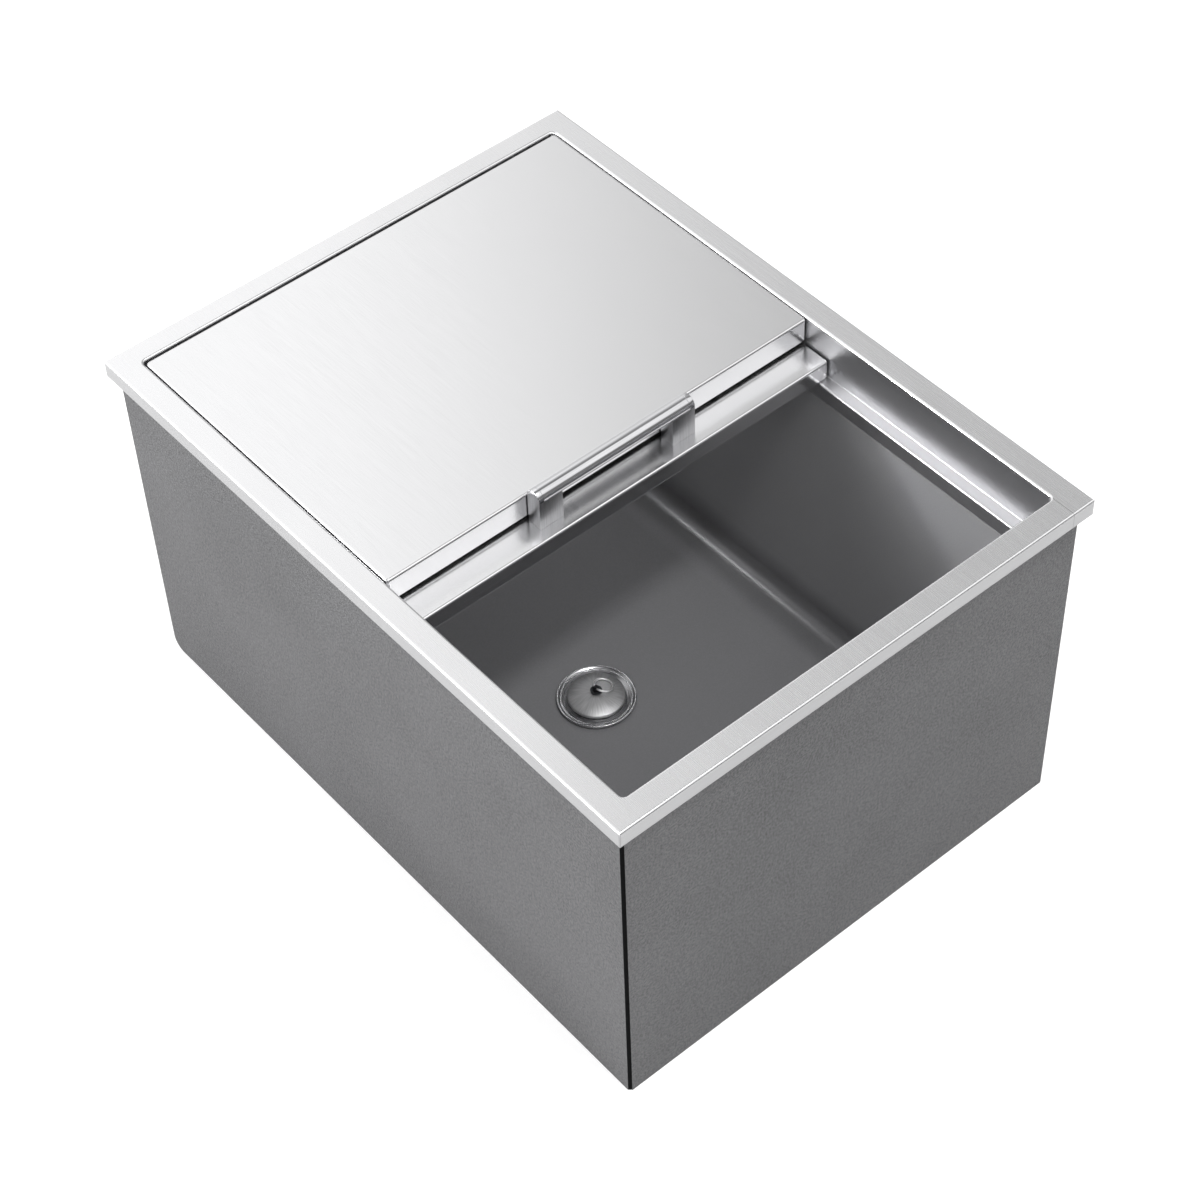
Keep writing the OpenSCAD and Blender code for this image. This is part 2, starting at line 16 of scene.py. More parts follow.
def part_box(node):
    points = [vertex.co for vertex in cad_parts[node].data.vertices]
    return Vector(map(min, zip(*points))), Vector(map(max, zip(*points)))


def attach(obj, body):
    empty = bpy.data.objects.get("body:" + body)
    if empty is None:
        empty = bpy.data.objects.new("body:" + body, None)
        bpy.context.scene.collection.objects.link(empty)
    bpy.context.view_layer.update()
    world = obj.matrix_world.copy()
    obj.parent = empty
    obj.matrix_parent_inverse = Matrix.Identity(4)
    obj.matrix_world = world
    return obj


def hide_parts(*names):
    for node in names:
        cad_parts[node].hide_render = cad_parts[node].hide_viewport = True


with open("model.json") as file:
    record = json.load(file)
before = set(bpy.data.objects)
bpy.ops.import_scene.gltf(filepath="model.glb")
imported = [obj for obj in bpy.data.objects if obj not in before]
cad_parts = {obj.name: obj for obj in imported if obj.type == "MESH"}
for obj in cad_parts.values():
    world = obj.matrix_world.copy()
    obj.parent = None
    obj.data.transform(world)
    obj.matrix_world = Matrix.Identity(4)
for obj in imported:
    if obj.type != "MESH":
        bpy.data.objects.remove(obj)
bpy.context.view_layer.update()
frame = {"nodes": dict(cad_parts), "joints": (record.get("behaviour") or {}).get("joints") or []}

nodes = frame["nodes"]
MM = 0.001

# %% [markdown]
# ## The camera
# The bin was photographed from the front left and above with a long lens. The camera's place and
# direction are measured in the bin's own frame, so nothing has to be fitted by eye.

# %% Camera
CAMERA_PLACE = Vector((-941.787, -1181.712, 1834.438)) * MM
RIGHT = Vector((0.76001681, -0.64935044, -0.02680403))
UP = Vector((0.49854628, 0.55606093, 0.66501718))
BACK = Vector((-0.41692452, -0.51878729, 0.7463469))

camera_data = bpy.data.cameras.new("camera")
camera_data.sensor_width = 36
camera_data.lens = 85.164
camera = bpy.data.objects.new("camera", camera_data)
turn = Matrix((RIGHT, UP, BACK)).transposed()
camera.matrix_world = Matrix.Translation(CAMERA_PLACE) @ turn.to_4x4()
bpy.context.collection.objects.link(camera)
bpy.context.scene.camera = camera
bpy.context.scene.view_settings.view_transform = "Standard"
print("lens", camera_data.lens, "mm at", [round(v, 3) for v in CAMERA_PLACE])

# %% [markdown]
# ## Colours and nodes
# Colours are written the way a paint chart gives them, as hex values, and one function turns
# them into the linear light that shaders work in. One more function adds a shader node with its
# settings and links, so that each finish below reads as a short list. A Mix node keeps a set of
# sockets for each kind of value, and they share their names, so they go by number: 2 and 3 in
# and 0 out for plain values, 6 and 7 in and 2 out for colours.

# %% Colour and node helpers
def linear(hex_colour):
    """Turns an sRGB hex colour into linear red, green, blue and alpha."""
    parts = [int(hex_colour[i:i + 2], 16) / 255 for i in (1, 3, 5)]
    return [p / 12.92 if p <= 0.04045 else ((p + 0.055) / 1.055) ** 2.4 for p in parts] + [1]


def add(tree, kind, feeds=None, **settings):
    """Adds a node, makes its settings, and feeds its sockets from values or other sockets."""
    node = tree.nodes.new("ShaderNode" + kind)
    for name, value in settings.items():
        setattr(node, name, value)
    for key, value in (feeds or {}).items():
        if isinstance(value, bpy.types.NodeSocket):
            tree.links.new(value, node.inputs[key])
        else:
            node.inputs[key].default_value = value
    return node


print("mid grey is", [round(v, 3) for v in linear("#808080")])

# %% [markdown]
# ## Materials
# Every finish here is one Principled shader. What is the same all over the surface is set on the
# shader itself. What varies comes from a pattern: the colour, the height of the bump, and mostly
# the roughness too.

# %% Material helpers
def new_material(name, **surface):
    """Makes a material with one shader and sets the values that are the same all over it."""
    material = bpy.data.materials.new(name)
    material.use_nodes = True
    shader = material.node_tree.nodes["Principled BSDF"]
    for key, value in surface.items():
        shader.inputs[key.replace("_", " ")].default_value = value
    return material, material.node_tree, shader


def dress(tree, shader, colour, height, depth_mm, roughness=None):
    """Feeds a shader its colour, a bump that is depth_mm high, and a roughness if it varies."""
    bump = add(tree, "Bump", {"Height": height, "Distance": depth_mm * MM, "Strength": 1.0})
    tree.links.new(colour, shader.inputs["Base Color"])
    tree.links.new(bump.outputs[0], shader.inputs["Normal"])
    if roughness is not None:
        tree.links.new(roughness, shader.inputs["Roughness"])


print("materials so far", len(bpy.data.materials))

# %% [markdown]
# ## Grain
# Brushed steel carries fine scratches that all run one way. A noise pattern does this when it is
# squeezed across the brushing and stretched along it. The pattern is given in millimetres: how
# wide one scratch is, and how long. Real scratches are about 0.1 mm wide, which is too fine to
# show here, so they are drawn 0.5 to 0.6 mm wide. Noise seldom strays far from its middle value,
# so the part of it from 0.3 to 0.7 is what gets stretched into a tone.

# %% Grain
NOISE = {"From Min": 0.3, "From Max": 0.7}


def grain(tree, place, sizes_mm, detail=2.0, rough=0.6):
    """Noise whose patches measure sizes_mm along X, Y and Z."""
    squeezed = add(tree, "Mapping", {"Vector": place, "Scale": [1 / (s * MM) for s in sizes_mm]})
    return add(tree, "TexNoise", {"Vector": squeezed.outputs[0], "Scale": 1.0,
                                  "Detail": detail, "Roughness": rough}).outputs[0]


print("noise is used", NOISE)

# %% [markdown]
# ## Brushed stainless steel
# The frame and the covers are 304 stainless sheet with a number 4 brushed finish: a satin sheen
# whose highlights smear along the scratches. The sheet is brushed front to back. On faces that
# look to the front or the back the scratches run from side to side, as they do on a lip that was
# brushed after it was folded down. A broad, faint cloud keeps the sheet from looking printed.

# %% Brushed sheet
CLOUD_SHARE, GLOSS_RANGE = 0.25, 0.05


def brushed_sheet(name, dark, light, roughness, width_mm, length_mm, depth_mm, seams_and_shade=None):
    """Brushed stainless; the last argument adds welded seams and painted shade to the sheet."""
    material, tree, shader = new_material(name, Metallic=1.0)
    coords = add(tree, "TexCoord").outputs
    place = coords["Object"]
    along_y = grain(tree, place, (width_mm, length_mm, width_mm))
    along_x = grain(tree, place, (length_mm, width_mm, width_mm))
    facing = add(tree, "SeparateXYZ", {0: coords["Normal"]}).outputs[1]
    facing = add(tree, "Math", {0: facing}, operation="ABSOLUTE").outputs[0]
    folded = add(tree, "MapRange", {"Value": facing, "From Min": 0.6, "From Max": 0.8}).outputs[0]
    scratch = add(tree, "Mix", {0: folded, 2: along_y, 3: along_x}).outputs[0]
    cloud = add(tree, "MapRange", {"Value": grain(tree, place, (60, 90, 60), detail=1.0),
                                   **NOISE, "To Max": CLOUD_SHARE}).outputs[0]
    tone = add(tree, "Math", {0: scratch, 1: 1 - CLOUD_SHARE, 2: cloud},
               operation="MULTIPLY_ADD").outputs[0]
    sheet = add(tree, "Mix", {0: tone, 6: linear(dark), 7: linear(light)},
                data_type="RGBA").outputs[2]
    gloss = add(tree, "MapRange", {"Value": scratch, **NOISE, "To Min": roughness - GLOSS_RANGE,
                                   "To Max": roughness + GLOSS_RANGE}).outputs[0]
    if seams_and_shade:
        sheet, gloss = seams_and_shade(tree, place, sheet, gloss)
    dress(tree, shader, sheet, scratch, depth_mm, gloss)
    return material


cover_steel = brushed_sheet("stainless_304_fine_brushed", "#e8e8e9", "#ebebec", 0.21,
                            width_mm=0.6, length_mm=30, depth_mm=0.0008)
print(cover_steel.name, len(cover_steel.node_tree.nodes), "nodes")

# %% [markdown]
# ## Seams and painted shade on the frame
# Under the level of the flange's top, the recess and the lip are painted greyer, a painted shade,
# and are duller. The lip's outer face is painted greyer still, a painted shade too. The frame's
# corners are welded and ground: a thin seam runs on from the opening's right side to the front,
# and the tip of the left front corner shows a short one. Masks cut from the object's own
# millimetres place all four, so no image texture is needed.

# %% Frame finish
RECESS_LEVEL, FLANGE_LEVEL, DULLER = 330, 332, 0.10
HALF_WIDTH, HALF_LENGTH = 228.6, 304.8
OPENING_RIGHT, OPENING_FRONT = 206.6, -282.8
SEAM_HALF, SEAM_STRENGTH, TIP_SEAM = 0.3, 0.5, 1.18


def frame_seams_and_painted_shade(tree, place, sheet, gloss):
    """Paints shade on the recess and the lip as grey, and draws a welded seam in both front
    corners.
    """
    x, y, z = add(tree, "SeparateXYZ", {0: place}).outputs
    recess_shade_mask = add(tree, "MapRange", {"Value": z, "From Min": RECESS_LEVEL * MM,
                                  "From Max": FLANGE_LEVEL * MM,
                                  "To Min": 1.0, "To Max": 0.0}).outputs[0]
    # Painted shade: the recess and the lip are turned grey #c9c9cb.
    sheet = add(tree, "Mix", {0: recess_shade_mask, 6: sheet, 7: linear("#c9c9cb")},
                data_type="RGBA").outputs[2]
    gloss = add(tree, "Math", {0: recess_shade_mask, 1: DULLER, 2: gloss}, operation="MULTIPLY_ADD").outputs[0]

    shares = (1 / (HALF_WIDTH * MM), 1 / (HALF_LENGTH * MM), 1)
    outward = add(tree, "VectorMath", {0: place, 1: shares}, operation="MULTIPLY").outputs[0]
    outward = add(tree, "VectorMath", {0: outward}, operation="ABSOLUTE").outputs[0]
    outward = add(tree, "SeparateXYZ", {0: outward}).outputs
    lip_shade_mask = add(tree, "Math", {0: outward[0], 1: outward[1]}, operation="MAXIMUM").outputs[0]
    lip_shade_mask = add(tree, "MapRange", {"Value": lip_shade_mask, "From Min": 0.9985, "From Max": 0.9995}).outputs[0]
    # Painted shade: the lip's outer face is turned a darker grey #acacad.
    sheet = add(tree, "Mix", {0: lip_shade_mask, 6: sheet, 7: linear("#acacad")},
                data_type="RGBA").outputs[2]

    line = add(tree, "Math", {0: x, 1: OPENING_RIGHT * MM, 2: SEAM_HALF * MM},
               operation="COMPARE").outputs[0]
    front = add(tree, "Math", {0: y, 1: OPENING_FRONT * MM}, operation="LESS_THAN").outputs[0]
    line = add(tree, "Math", {0: line, 1: front}, operation="MULTIPLY").outputs[0]
    tip = add(tree, "Math", {0: x, 1: y}, operation="ADD").outputs[0]
    tip = add(tree, "Math", {0: tip, 1: (TIP_SEAM - HALF_WIDTH - HALF_LENGTH) * MM},
              operation="LESS_THAN").outputs[0]
    seam = add(tree, "Math", {0: line, 1: tip}, operation="MAXIMUM").outputs[0]
    seam = add(tree, "Math", {0: seam, 1: SEAM_STRENGTH}, operation="MULTIPLY").outputs[0]
    sheet = add(tree, "Mix", {0: seam, 6: sheet, 7: linear("#6c6c6d")},
                data_type="RGBA").outputs[2]
    return sheet, gloss


flange_steel = brushed_sheet("stainless_304_brushed_no4", "#e6e6e7", "#f3f3f4", 0.26,
                             # The frame's sheet, with its welded seams and its painted shade.
                             width_mm=0.5, length_mm=45, depth_mm=0.004, seams_and_shade=frame_seams_and_painted_shade)
print(flange_steel.name, len(flange_steel.node_tree.nodes), "nodes")

# %% [markdown]
# ## Satin steel for the tub
# The tub is drawn and bead-ground to a dull satin, so it has no single grain direction: a broad
# round noise and a fine one make a slightly cloudy grey. The bead marks are finer than the
# 1.2 mm they are drawn at, so that they show. The walls are painted paler than the floor, as
# painted light. The coves along the floor's sides are drawn smoother, so less rough, and each
# keeps a soft streak of light.

# %% Tub finish
FLOOR_END, WALL_START = 25, 55
COVE_FROM, COVE_TO, COVE_LOW, COVE_HIGH, COVE_ROUGHNESS = 155, 175, 35, 60, 0.36


def satin_tub():
    """Dull satin steel, its walls painted paler than the floor as painted light, with smoother
    coves along its sides.
    """
    material, tree, shader = new_material("stainless_304_satin_ground", Metallic=0.7)
    place = add(tree, "TexCoord").outputs["Object"]
    cloud = grain(tree, place, (35, 35, 35), detail=3.0)
    fine = grain(tree, place, (1.2, 1.2, 1.2))
    speckle = add(tree, "MapRange", {"Value": fine, **NOISE, "To Max": 0.5}).outputs[0]
    tone = add(tree, "Math", {0: cloud, 1: 0.5, 2: speckle}, operation="MULTIPLY_ADD").outputs[0]
    floor = add(tree, "Mix", {0: tone, 6: linear("#868688"), 7: linear("#929294")},
                data_type="RGBA").outputs[2]
    # Painted light: the walls get a paler grey than the floor.
    walls_painted_lighter = add(tree, "Mix", {0: tone, 6: linear("#a6a6a8"), 7: linear("#b2b2b4")},
                data_type="RGBA").outputs[2]
    x, _, z = add(tree, "SeparateXYZ", {0: place}).outputs
    # Where the painted light starts: from the floor's top up into the walls.
    painted_wall_light = add(tree, "MapRange", {"Value": z, "From Min": FLOOR_END * MM,
                                  "From Max": WALL_START * MM}).outputs[0]
    colour = add(tree, "Mix", {0: painted_wall_light, 6: floor, 7: walls_painted_lighter}, data_type="RGBA").outputs[2]

    beside = add(tree, "Math", {0: x}, operation="ABSOLUTE").outputs[0]
    beside = add(tree, "MapRange", {"Value": beside, "From Min": COVE_FROM * MM,
                                    "From Max": COVE_TO * MM}).outputs[0]
    low = add(tree, "MapRange", {"Value": z, "From Min": COVE_LOW * MM,
                                 "From Max": COVE_HIGH * MM,
                                 "To Min": 1.0, "To Max": 0.0}).outputs[0]
    cove = add(tree, "Math", {0: beside, 1: low}, operation="MULTIPLY").outputs[0]
    dull = add(tree, "MapRange", {"Value": cloud, **NOISE,
                                  "To Min": 0.70, "To Max": 0.74}).outputs[0]
    gloss = add(tree, "Mix", {0: cove, 2: dull, 3: COVE_ROUGHNESS}).outputs[0]
    dress(tree, shader, colour, fine, 0.01, gloss)
    return material


tub_steel = satin_tub()
print(tub_steel.name, len(tub_steel.node_tree.nodes), "nodes")

# %% [markdown]
# ## Coated sheet for the jacket
# The outer panels are steel sheet with a matt, finely textured powder coat. It scatters light as
# paint does, and every grain of it has a lit and a dark side. The real grains are smaller, but
# they are drawn 1.8 mm wide so that they show. A broad cloud shifts the tone a little.

# %% Jacket finish
def textured_coating():
    """Matt textured powder coat: a speckle in colour and in height."""
    material, tree, shader = new_material("textured_powder_coat_grey", Metallic=0.0,
                                          Roughness=0.5)
    place = add(tree, "TexCoord").outputs["Object"]
    speckle = grain(tree, place, (1.8, 1.8, 1.8), detail=1.5, rough=0.7)
    cloud = grain(tree, place, (140, 140, 110))
    grains = add(tree, "MapRange", {"Value": speckle, **NOISE, "To Max": 0.7}).outputs[0]
    shift = add(tree, "MapRange", {"Value": cloud, **NOISE,
                                   "To Min": 0.05, "To Max": 0.2}).outputs[0]
    tone = add(tree, "Math", {0: grains, 1: shift}, operation="ADD").outputs[0]
    coat = add(tree, "Mix", {0: tone, 6: linear("#242426"), 7: linear("#68686a")},
               data_type="RGBA").outputs[2]
    dress(tree, shader, coat, speckle, 0.6)
    return material


jacket_coat = textured_coating()
print(jacket_coat.name, len(jacket_coat.node_tree.nodes), "nodes")

# %% [markdown]
# ## The smaller finishes
# Each of these is one noise pattern that drives colour, roughness and height together, because on
# such surfaces a mark is darker, duller and lower all at once. Only its size, its direction and
# its tones differ from one material to the next.

# %% One pattern for a finish
def patterned(name, dark, light, sizes_mm, roughness, rough_spread, depth_mm,
              metallic=1.0, detail=2.0, **surface):
    """A finish from one noise pattern that drives colour, roughness and height."""
    material, tree, shader = new_material(name, Metallic=metallic, **surface)
    pattern = grain(tree, add(tree, "TexCoord").outputs["Object"], sizes_mm, detail=detail)
    tone = add(tree, "MapRange", {"Value": pattern, **NOISE}).outputs[0]
    colour = add(tree, "Mix", {0: tone, 6: linear(dark), 7: linear(light)},
                 data_type="RGBA").outputs[2]
    gloss = add(tree, "MapRange", {"Value": pattern, **NOISE,
                                   "To Min": roughness - rough_spread,
                                   "To Max": roughness + rough_spread}).outputs[0]
    dress(tree, shader, colour, pattern, depth_mm, gloss)
    return material


# Silicone skins over in soft waves and hardly shines.
silicone = patterned("black_silicone_sealant", "#030304", "#09090a", (3, 3, 6), 0.85, 0.08, 0.15,
                     metallic=0.0, Specular_IOR_Level=0.06)
# Cut foam shows its open cells, pale and dry.
cut_foam = patterned("cut_polyurethane_foam", "#cdbd86", "#e6dbb2", (1.2, 1.2, 1.2), 0.9, 0.05,
                     0.6, metallic=0.0, detail=5.0)
# Moulded rubber is matt black with a fine tooth.
rubber = patterned("moulded_black_rubber", "#18191a", "#242526", (1.0, 1.0, 1.0), 0.6, 0.06,
                   0.02, metallic=0.0)
print("finishes", len(bpy.data.materials))

# %% Small steel parts
# Polished tube is near to a mirror, with long faint drag lines from the buffing wheel.
bar_steel = patterned("polished_stainless_tube", "#cdcdcf", "#dedee0", (40, 1.0, 1.0), 0.14,
                      0.05, 0.002)
# The posts are brushed up and down.
post_steel = patterned("brushed_stainless_block", "#98989a", "#b4b4b6", (0.5, 0.5, 25), 0.36,
                       0.04, 0.002)
# Bright zinc shows the faint patches of its crystals.
zinc = patterned("bright_zinc_plate", "#a9adb0", "#c3c6c8", (2.5, 2.5, 2.5), 0.35, 0.08, 0.004)
# The stud is turned and is drawn dark grey. The ring's wire is drawn bright.
stud_steel = patterned("dark_turned_steel", "#3c3d3f", "#56585a", (0.8, 0.8, 0.5), 0.32, 0.06,
                       0.004)
wire_steel = patterned("bright_drawn_wire", "#f4f4f4", "#fcfcfc", (2, 2, 2), 0.42, 0.03, 0.001)
print("finishes", len(bpy.data.materials))

# %% [markdown]
# ## Steel worked about an axis
# The drain is spun on a lathe, which leaves fine rings, and the stopper's cap is brushed from its
# middle outwards, which leaves rays. Both come from one noise that reads the angle and the
# distance from the drain's axis instead of X and Y. A high count of rays with broad rings gives
# the cap, and narrow rings with few rays give the drain.

# %% Turned finishes
def turned_steel(name, dark, light, roughness, ring_mm, ray_count, depth_mm):
    """Steel with rings from a lathe or rays from a radial brush, about the drain's axis."""
    material, tree, shader = new_material(name, Metallic=1.0)
    x, y, z = add(tree, "SeparateXYZ", {0: add(tree, "TexCoord").outputs["Object"]}).outputs
    angle = add(tree, "Math", {0: y, 1: x}, operation="ARCTAN2").outputs[0]
    flat = add(tree, "CombineXYZ", {0: x, 1: y, 2: 0.0}).outputs[0]
    radius = add(tree, "VectorMath", {0: flat}, operation="LENGTH").outputs["Value"]
    rays = add(tree, "Math", {0: angle, 1: ray_count / math.tau}, operation="MULTIPLY").outputs[0]
    rings = add(tree, "Math", {0: radius, 1: 1 / (ring_mm * MM)}, operation="MULTIPLY").outputs[0]
    polar = add(tree, "CombineXYZ", {0: rays, 1: rings, 2: z}).outputs[0]
    pattern = add(tree, "TexNoise", {"Vector": polar, "Scale": 1.0, "Detail": 2.0}).outputs[0]
    tone = add(tree, "MapRange", {"Value": pattern, **NOISE}).outputs[0]
    colour = add(tree, "Mix", {0: tone, 6: linear(dark), 7: linear(light)},
                 data_type="RGBA").outputs[2]
    gloss = add(tree, "MapRange", {"Value": pattern, **NOISE, "To Min": roughness - 0.06,
                                   "To Max": roughness + 0.06}).outputs[0]
    dress(tree, shader, colour, pattern, depth_mm, gloss)
    return material


cap_steel = turned_steel("radially_brushed_steel", "#a6a6a7", "#c6c6c7", 0.5, 12, 150, 0.006)
drain_steel = turned_steel("turned_stainless", "#b6b6b8", "#c8c8ca", 0.26, 0.9, 8, 0.001)
print("finishes", len(bpy.data.materials))

# %% [markdown]
# ## Which solid gets which finish
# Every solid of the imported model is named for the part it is, so one table says what each is made
# of. The solids that are remodelled below get theirs too, in case one is shown.

# %% Give the solids their finishes
FINISHES = {
    "top_frame": flange_steel, "cover_rest_left": flange_steel, "cover_rest_right": flange_steel,
    "rear_cover": cover_steel, "sliding_cover": cover_steel, "tub_liner": tub_steel,
    "jacket_front": jacket_coat, "jacket_back": jacket_coat, "jacket_left": jacket_coat,
    "jacket_right": jacket_coat, "jacket_bottom": jacket_coat, "jacket_seam_seal": silicone,
    "insulation_foam": cut_foam, "handle_bar": bar_steel, "handle_post_left": post_steel,
    "handle_post_right": post_steel, "handle_screws": zinc, "handle_washers": zinc,
    "drain_body": drain_steel, "drain_top_washer": rubber, "drain_under_washer": rubber,
    "drain_backnut": zinc, "stopper_cap": cap_steel, "stopper_seal": rubber,
    "stopper_stud": stud_steel, "stopper_nut": zinc, "pull_ring": wire_steel,
}
for name, finish in FINISHES.items():
    for slot in nodes[name].material_slots:
        slot.material = finish
print("finished", len(FINISHES), "of", len(nodes))

# %% [markdown]
# ## Turning a mesh into a piece
# A remodelled piece starts as a bmesh, Blender's editable mesh. One helper rounds its sharp edges
# with the bevel operator, one spins a profile, and another gives the mesh a finish, hangs it on
# the body that carries it, and hides the plain solid that it stands for.

# %% Piece helpers
def box_of(node):
    """A node's lowest and highest corners in mm."""
    return [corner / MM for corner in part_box(node)]


def soften(bm, width_mm, segments=2, sharp=30, where=None):
    """Rounds the edges whose faces meet at more than sharp degrees."""
    edges = [e for e in bm.edges if len(e.link_faces) == 2
             and e.calc_face_angle(0) > math.radians(sharp) and (where is None or where(e))]
    bmesh.ops.bevel(bm, geom=edges, offset=width_mm * MM, offset_type="OFFSET",
                    segments=segments, profile=0.5, affect="EDGES", clamp_overlap=True,
                    material=-1)


def spun(profile):
    """Spins a closed profile of (radius, height) points, in mm, about the drain's axis."""
    bm = bmesh.new()
    points = [bm.verts.new((r * MM, 0, z * MM)) for r, z in profile]
    for first, second in zip(points, points[1:] + points[:1]):
        bm.edges.new((first, second))
    bmesh.ops.spin(bm, geom=bm.verts[:] + bm.edges[:], cent=(0, 0, 0), axis=(0, 0, 1),
                   angle=math.tau, steps=96, use_merge=True)
    bmesh.ops.remove_doubles(bm, verts=bm.verts, dist=0.001 * MM)
    return bm


def place_piece(bm, name, finish, body, slot, *replaced, crease=40):
    """Makes the object, shades it smooth between sharp edges, and puts it in the assembly."""
    bmesh.ops.recalc_face_normals(bm, faces=bm.faces)
    open_edges = sum(not e.is_manifold for e in bm.edges)
    mesh = bpy.data.meshes.new(name)
    bm.to_mesh(mesh)
    bm.free()
    mesh.shade_smooth()
    mesh.set_sharp_from_angle(angle=math.radians(crease))
    for one in finish if isinstance(finish, list) else [finish]:
        mesh.materials.append(one)
    piece = bpy.data.objects.new(name, mesh)
    bpy.context.collection.objects.link(piece)
    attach(piece, body)
    if replaced:
        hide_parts(*replaced)
    low, high = [[round(pick(v.co[i] for v in mesh.vertices) / MM, 2) for i in range(3)]
                 for pick in (min, max)]
    print(name, len(mesh.polygons), "faces,", open_edges, "open edges, mm", low, high)


print("the tallest solid ends at", round(box_of("handle_bar")[1].z, 2), "mm")

# %% [markdown]
# ## The grip bar
# The bar is half round and polished, and flat and brushed underneath. A fine groove near each end
# parts a cap from the middle, and the caps end in flat brushed faces that run down into the
# posts. The section is an arc spun from one vertex and closed with three straight edges.
# Extruding it along the bar and pinching it at each groove makes the rest.

# %% The bar's section
post_low, post_high = box_of("handle_post_left")
bar_left, bar_front, bar_back, bar_foot = post_low.x, post_low.y, post_high.y, post_high.z
bar_right = box_of("handle_post_right")[1].x
bar_length = bar_right - bar_left
bar_radius = (bar_back - bar_front) / 2
TOP_CLEARANCE = 0.001  # keeps the polished top just inside the CAD box
bar_top = box_of("handle_bar")[1].z - TOP_CLEARANCE
bar_centre = Vector((bar_left, bar_front + bar_radius, bar_top - bar_radius))

bm = bmesh.new()
start = bm.verts.new(Vector((bar_left, bar_front, bar_centre.z)) * MM)
arc = bmesh.ops.spin(bm, geom=[start], cent=bar_centre * MM, axis=(-1, 0, 0), angle=math.pi,
                     steps=40)
arc_end = next(v for v in arc["geom_last"] if isinstance(v, bmesh.types.BMVert))
front_foot, back_foot = [bm.verts.new(Vector((bar_left, y, bar_foot)) * MM)
                         for y in (bar_front, bar_back)]
for pair in ((start, front_foot), (front_foot, back_foot), (back_foot, arc_end)):
    bm.edges.new(pair)
section = bmesh.ops.edgenet_fill(bm, edges=bm.edges[:])["faces"][0]
print("section of", len(section.verts), "points, radius", round(bar_radius, 2), "mm")

# %% [markdown]
# ### Growing the bar along its length
# Each stop says how far along the bar it lies, and how much the section is pinched there. The
# section is pinched towards the middle of its flat foot, so the underside stays straight. The
# first extrusion keeps the section it starts from, as the bar's left end. The sections that later
# ones leave inside the bar show nowhere and would spoil a solid, so they are found, by their
# edges that carry three faces, and taken out.

# %% Grip bar
CAP_LENGTH, GROOVE_WIDTH, GROOVE_PINCH = 4.6, 0.5, 0.95
END_ROUND, END_PINCH, SHOULDER_PINCH = 0.35, 0.965, 0.985
half_stops = [(0, END_PINCH), (END_ROUND / 3, SHOULDER_PINCH), (END_ROUND, 1),
              (CAP_LENGTH - GROOVE_WIDTH / 2, 1), (CAP_LENGTH, GROOVE_PINCH),
              (CAP_LENGTH + GROOVE_WIDTH / 2, 1)]
stops = half_stops + [(bar_length - along, pinch) for along, pinch in reversed(half_stops)]
pivot = Matrix.Translation(-Vector((0, bar_centre.y, bar_foot)) * MM)
pinched = END_PINCH
bmesh.ops.scale(bm, vec=(1, pinched, pinched), verts=section.verts, space=pivot)
for index, (along, pinch) in enumerate(stops[1:]):
    grown = bmesh.ops.extrude_face_region(bm, geom=[section], use_keep_orig=index == 0)["geom"]
    section = next(f for f in grown if isinstance(f, bmesh.types.BMFace))
    step = bar_left + along - section.verts[0].co.x / MM
    bmesh.ops.translate(bm, vec=(step * MM, 0, 0), verts=section.verts)
    bmesh.ops.scale(bm, vec=(1, pinch / pinched, pinch / pinched), verts=section.verts,
                    space=pivot)
    pinched = pinch
inner = [f for f in bm.faces if all(len(e.link_faces) > 2 for e in f.edges)]
bmesh.ops.delete(bm, geom=inner, context="FACES_ONLY")
print("sections left inside the bar and taken out", len(inner))

bmesh.ops.recalc_face_normals(bm, faces=bm.faces)
POLISHED, BRUSHED, SQUARE_ON = 0, 1, 0.9
for face in bm.faces:
    flat = abs(face.normal.x) > SQUARE_ON or face.normal.z < -SQUARE_ON
    face.material_index = BRUSHED if flat else POLISHED
place_piece(bm, "grip_bar", [bar_steel, post_steel], "front_slider", "polished_bar", "handle_bar")

# %% [markdown]
# ## The bead under the bar
# A thin half-sunk rod runs along the bar's lower front edge and stops short of both ends. Its
# ends are rounded by bevelling a cylinder's rims almost to their middle.

# %% Bead
BEAD_RADIUS, BEAD_INSET, BEAD_ROUND = 0.8, 4.6, 0.7
bm = bmesh.new()
bmesh.ops.create_cone(bm, cap_ends=True, segments=20, radius1=BEAD_RADIUS * MM,
                      radius2=BEAD_RADIUS * MM, depth=(bar_length - 2 * BEAD_INSET) * MM)
bmesh.ops.rotate(bm, verts=bm.verts, cent=(0, 0, 0), matrix=Matrix.Rotation(math.pi / 2, 3, "Y"))
bead_centre = Vector(((bar_left + bar_right) / 2, bar_front, bar_foot + BEAD_RADIUS))
bmesh.ops.translate(bm, verts=bm.verts, vec=bead_centre * MM)
soften(bm, BEAD_ROUND, segments=5, sharp=60)
place_piece(bm, "grip_bead", bar_steel, "front_slider", "polished_bar")

# %% [markdown]
# ## Copies with softened edges
# The posts and the stud already have the right form but edges as sharp as a knife. A packed
# node's mesh is loose triangles, so a copy is merged, its flat faces are joined again, and then
# its edges are bevelled. The posts keep their sharp upper edges, because the bar closes over
# them.

# %% Softened copies
def copy_of(node):
    """A merged copy of a node's mesh, with flat neighbours joined into whole faces."""
    bm = bmesh.new()
    bm.from_mesh(nodes[node].data)
    bmesh.ops.remove_doubles(bm, verts=bm.verts, dist=0.0005 * MM)
    bmesh.ops.dissolve_limit(bm, angle_limit=math.radians(0.3), verts=bm.verts, edges=bm.edges)
    return bm


